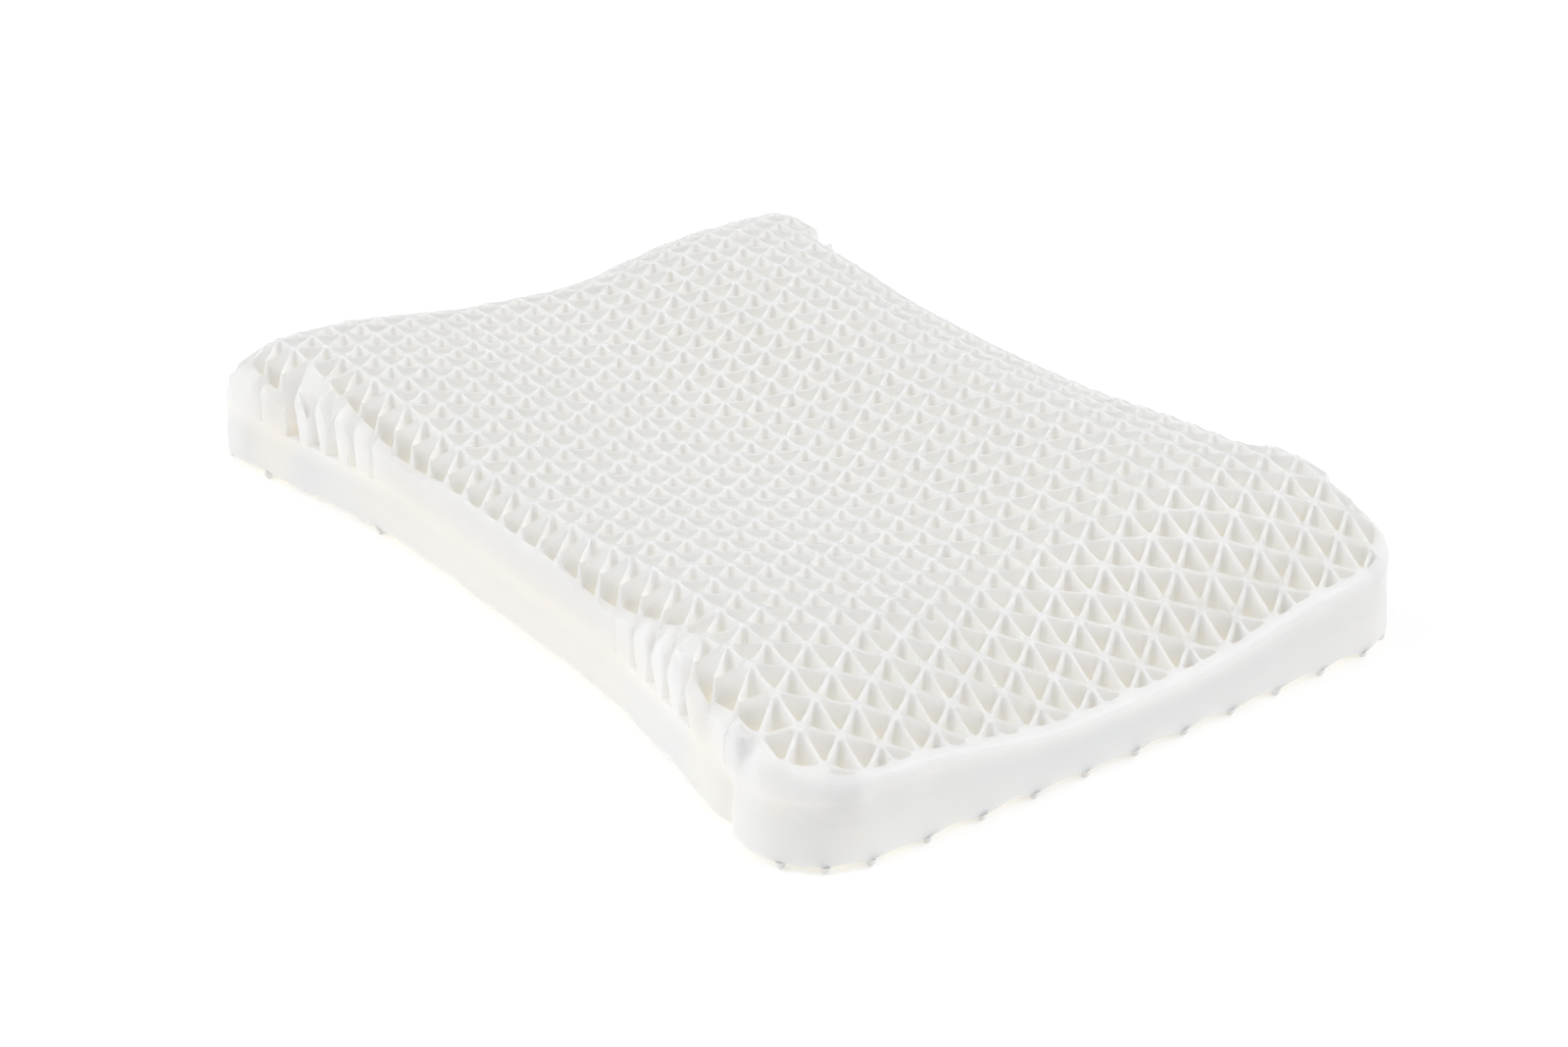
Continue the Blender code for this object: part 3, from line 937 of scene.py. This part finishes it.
def elastomer(finish, name, share):
    """Translucent moulded elastomer: satin skin, painted warmth and painted glow that grow with depth in
    the cells, painted shade on the band.
    """
    material = bpy.data.materials.new(name)
    material.use_nodes = True
    tree = material.node_tree
    shader = tree.nodes["Principled BSDF"]
    shader.inputs["IOR"].default_value = 1.48
    shader.inputs["Subsurface Weight"].default_value = share
    shader.inputs["Subsurface Radius"].default_value = (1.0, 0.95, 0.85)
    shader.inputs["Subsurface Scale"].default_value = finish.depth
    place = add_node(tree, "ShaderNodeTexCoord")
    # Painted light: the colour turns warmer deeper in the cells, in place of the warmth of light that has
    # crossed more material there.
    deep = add_node(tree, "ShaderNodeAttribute", attribute_name="depth")
    painted_warmth = add_node(tree, "ShaderNodeMapRange", [(deep.outputs["Fac"], "Value")],
                      interpolation_type="SMOOTHSTEP", in_From_Min=0.0, in_From_Max=35.0 * MM)
    # Broad clouds of slightly uneven colour, about 60 mm across, from the moulding.
    cloud = add_node(tree, "ShaderNodeTexNoise", [(place.outputs["Object"], "Vector")],
                     in_Scale=1.0 / (60.0 * MM), in_Detail=3.0, in_Roughness=0.5)
    skin = add_node(tree, "ShaderNodeMix", [(cloud.outputs["Fac"], "Factor")], data_type="RGBA")
    skin.inputs["A"].default_value = (*(c * 0.985 for c in finish.cream), 1.0)
    skin.inputs["B"].default_value = (*finish.cream, 1.0)
    # Painted shade: the band is darkened with a grey-blue tint, in place of the lesser light it passes on
    # compared with the thin walls.
    band_shade_mask = add_node(tree, "ShaderNodeMapRange", [(deep.outputs["Fac"], "Value")],
                     in_From_Min=0.0, in_From_Max=BAND_SHADE_MARK)
    band_painted_shade = add_node(tree, "ShaderNodeMix",
                    [(band_shade_mask.outputs["Result"], "Factor"), (skin.outputs["Result"], "A")],
                    data_type="RGBA", blend_type="MULTIPLY")
    band_painted_shade.inputs["B"].default_value = srgb("#EDF0F5")
    colour = add_node(tree, "ShaderNodeMix",
                      [(painted_warmth.outputs["Result"], "Factor"), (band_painted_shade.outputs["Result"], "A")],
                      data_type="RGBA")
    colour.inputs["B"].default_value = (*finish.core, 1.0)
    tree.links.new(colour.outputs["Result"], shader.inputs["Base Color"])
    # Painted glow: the skin emits a warm light deep in the cells, though it is no lamp.
    glow = add_node(tree, "ShaderNodeMath", [(painted_warmth.outputs["Result"], 0)], operation="MULTIPLY")
    glow.inputs[1].default_value = finish.glow
    tree.links.new(glow.outputs["Value"], shader.inputs["Emission Strength"])
    shader.inputs["Emission Color"].default_value = srgb("#FFF8E5")
    # Skin that is a little glossier in places, where it lay tighter on the tool.
    patch = add_node(tree, "ShaderNodeTexNoise", [(place.outputs["Object"], "Vector")],
                     in_Scale=1.0 / (25.0 * MM), in_Detail=2.0, in_Roughness=0.5)
    sheen = add_node(tree, "ShaderNodeMapRange", [(patch.outputs["Fac"], "Value")],
                     in_From_Min=0.3, in_From_Max=0.7,
                     in_To_Min=finish.roughness - 0.05, in_To_Max=finish.roughness + 0.06)
    tree.links.new(sheen.outputs["Result"], shader.inputs["Roughness"])
    # Soft waves about 26 mm long, and the fine grain of the tool's surface.
    wave = add_node(tree, "ShaderNodeTexNoise", [(place.outputs["Object"], "Vector")],
                    in_Scale=1.0 / (26.0 * MM), in_Detail=2.0, in_Roughness=0.5)
    bump = add_node(tree, "ShaderNodeBump", [(wave.outputs["Fac"], "Height")],
                    in_Strength=0.3, in_Distance=1.2 * MM)
    grain = add_node(tree, "ShaderNodeTexNoise", [(place.outputs["Object"], "Vector")],
                     in_Scale=1.0 / (0.8 * MM), in_Detail=1.0, in_Roughness=0.5)
    fine = add_node(tree, "ShaderNodeBump",
                    [(grain.outputs["Fac"], "Height"), (bump.outputs["Normal"], "Normal")],
                    in_Strength=0.12, in_Distance=0.05 * MM)
    tree.links.new(fine.outputs["Normal"], shader.inputs["Normal"])
    return material


class GRIDPILLOW_OT_moulding(bpy.types.Operator):
    """Builds the moulding with its net and band"""

    bl_idname = "grid_pillow.moulding"
    bl_label = "Moulding"

    def execute(self, context):
        settings = context.scene.grid_pillow
        solid, plan = moulding(Form(settings.shape))
        piece = solid.build("pillow_moulding", math.radians(60.0))
        piece.data.materials.append(elastomer(settings.finish, "moulded elastomer", 1.0))
        piece.data.materials.append(elastomer(settings.finish, "moulded elastomer feet", 0.0))
        for face in piece.data.polygons[solid.first_nub:]:
            face.material_index = 1
        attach(piece, "root")
        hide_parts(NODE)
        print("cells", len(plan.cells), "slits", len(plan.slits))
        return {"FINISHED"}


def seen_from(turn, height):
    """Direction towards a place that is turned from the front and raised."""
    level = math.cos(height)
    return Vector((math.sin(turn) * level, -math.cos(turn) * level, math.sin(height)))


def broad_light(name, turn, height, spread, strength):
    """Even, soft light from one side, turned from the front and raised."""
    light = bpy.data.lights.new(name, "SUN")
    light.angle = spread
    light.energy = strength
    lamp = bpy.data.objects.new(name, light)
    back = seen_from(turn, height)
    lamp.location = back * LAMP_DISTANCE
    lamp.rotation_euler = back.to_track_quat("Z", "Y").to_euler()
    bpy.context.scene.collection.objects.link(lamp)


class GRIDPILLOW_OT_stage(bpy.types.Operator):
    """Builds the floor, the studio light and the camera"""

    bl_idname = "grid_pillow.stage"
    bl_label = "Stage"

    def execute(self, context):
        stage = context.scene.grid_pillow.stage
        data = bpy.data.meshes.new("floor")
        corners = [(x * FLOOR_REACH, y * FLOOR_REACH, 0.0) for x, y in ((-1, -1), (1, -1), (1, 1), (-1, 1))]
        data.from_pydata(corners, [], [(0, 1, 2, 3)])
        floor = bpy.data.objects.new("floor", data)
        context.scene.collection.objects.link(floor)
        paint = bpy.data.materials.new("pale studio floor")
        paint.use_nodes = True
        shader = paint.node_tree.nodes["Principled BSDF"]
        shader.inputs["Base Color"].default_value = srgb("#EEEEEE")
        shader.inputs["Roughness"].default_value = 0.9
        shader.inputs["Emission Color"].default_value = srgb("#FFFFFF")
        shader.inputs["Emission Strength"].default_value = stage.glow
        data.materials.append(paint)
        world = bpy.data.worlds.new("studio")
        world.use_nodes = True
        sky = world.node_tree.nodes["Background"]
        sky.inputs["Color"].default_value = srgb("#FFFFFF")
        sky.inputs["Strength"].default_value = stage.sky
        context.scene.world = world
        broad_light("top", 0.0, QUARTER_TURN, TOP_SPREAD, stage.top)
        broad_light("left", stage.azimuth - QUARTER_TURN, LAMP_HEIGHT, LAMP_SPREAD, stage.left)
        broad_light("right", stage.azimuth + QUARTER_TURN, LAMP_HEIGHT, LAMP_SPREAD, stage.right)
        camera_data = bpy.data.cameras.new("camera")
        camera_data.lens = stage.lens
        camera_data.sensor_width = SENSOR_WIDTH
        camera_data.clip_end = CAMERA_REACH
        camera = bpy.data.objects.new("camera", camera_data)
        back = seen_from(stage.azimuth, stage.elevation)
        camera.location = Vector(stage.target) + back * stage.distance
        camera.rotation_euler = back.to_track_quat("Z", "Y").to_euler()
        context.scene.collection.objects.link(camera)
        context.scene.camera = camera
        context.scene.view_settings.view_transform = "Standard"
        return {"FINISHED"}


class GridPillowSettings(bpy.types.PropertyGroup):
    """All settings of the grid pillow"""

    shape: PointerProperty(type=GridPillowShape, name="Shape", description="Sizes of the moulding")
    finish: PointerProperty(type=GridPillowFinish, name="Finish", description="Look of the elastomer")
    stage: PointerProperty(type=GridPillowStage, name="Stage", description="Camera and light")


class GRIDPILLOW_PT_panel(bpy.types.Panel):
    """Settings and build steps of the grid pillow"""

    bl_idname = "GRIDPILLOW_PT_panel"
    bl_label = "Grid pillow"
    bl_space_type = "VIEW_3D"
    bl_region_type = "UI"
    bl_category = "Grid pillow"

    def draw(self, context):
        settings = context.scene.grid_pillow
        for title in ("Shape", "Finish", "Stage"):
            group = getattr(settings, title.lower())
            box = self.layout.box()
            box.label(text=title)
            for name in group.__annotations__:
                box.prop(group, name)
        for operator in (GRIDPILLOW_OT_moulding, GRIDPILLOW_OT_stage):
            self.layout.operator(operator.bl_idname)


CLASSES = (GridPillowShape, GridPillowFinish, GridPillowStage, GridPillowSettings,
           GRIDPILLOW_OT_moulding, GRIDPILLOW_OT_stage, GRIDPILLOW_PT_panel)


def register():
    for item in CLASSES:
        bpy.utils.register_class(item)
    bpy.types.Scene.grid_pillow = PointerProperty(type=GridPillowSettings)


def unregister():
    del bpy.types.Scene.grid_pillow
    for item in reversed(CLASSES):
        bpy.utils.unregister_class(item)


def main():
    register()
    bpy.ops.grid_pillow.moulding()
    bpy.ops.grid_pillow.stage()


if __name__ == "__main__":
    main()
